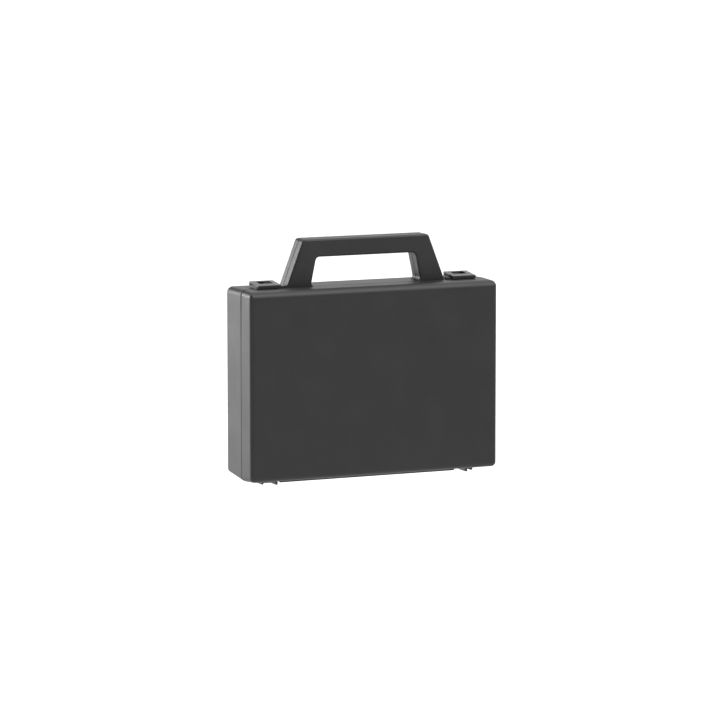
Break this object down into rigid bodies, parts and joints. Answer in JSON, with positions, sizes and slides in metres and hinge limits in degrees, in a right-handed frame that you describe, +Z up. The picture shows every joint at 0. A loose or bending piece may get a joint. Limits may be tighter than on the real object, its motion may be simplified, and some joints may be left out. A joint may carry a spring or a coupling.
{
  "type": "carrying case",
  "caption": "Small moulded carrying case with a hand opening in its handle, slide latches, a hinged lid and pocketed foam inside; it stands on its hinge edge.",
  "frame": {"origin": "under the middle of the case, on the surface that its feet stand on", "axes": "+Z up from the hinge edge to the handle, +X to the right seen from the front, +Y from the lid towards the back of the base"},
  "size_m": [0.2604, 0.065, 0.2364],
  "materials": {
    "shell_plastic": "satin",
    "latch_plastic": "satin",
    "pin_steel": "satin",
    "foam": "matte"
  },
  "bodies": {
    "base": {"rear_shell": "shell_plastic", "hinge_pin_left": "pin_steel", "hinge_pin_right": "pin_steel", "foam_tray": "foam", "foam_backing": "foam"},
    "lid": {"front_shell": "shell_plastic", "lid_foam": "foam"},
    "left_latch": {"latch_slider_left": "latch_plastic"},
    "right_latch": {"latch_slider_right": "latch_plastic"}
  },
  "joints": [
    {"name": "lid_hinge", "type": "hinge", "parent": "base", "child": "lid", "pos_m": [0, -0.0083, 0.0037], "axis": [1, 0, 0], "range_deg": [0, 180]},
    {"name": "left_latch_slide", "type": "slide", "parent": "base", "child": "left_latch", "axis": [1, 0, 0], "range_m": [0, 0.006]},
    {"name": "right_latch_slide", "type": "slide", "parent": "base", "child": "right_latch", "axis": [-1, 0, 0], "range_m": [0, 0.006]}
  ]
}
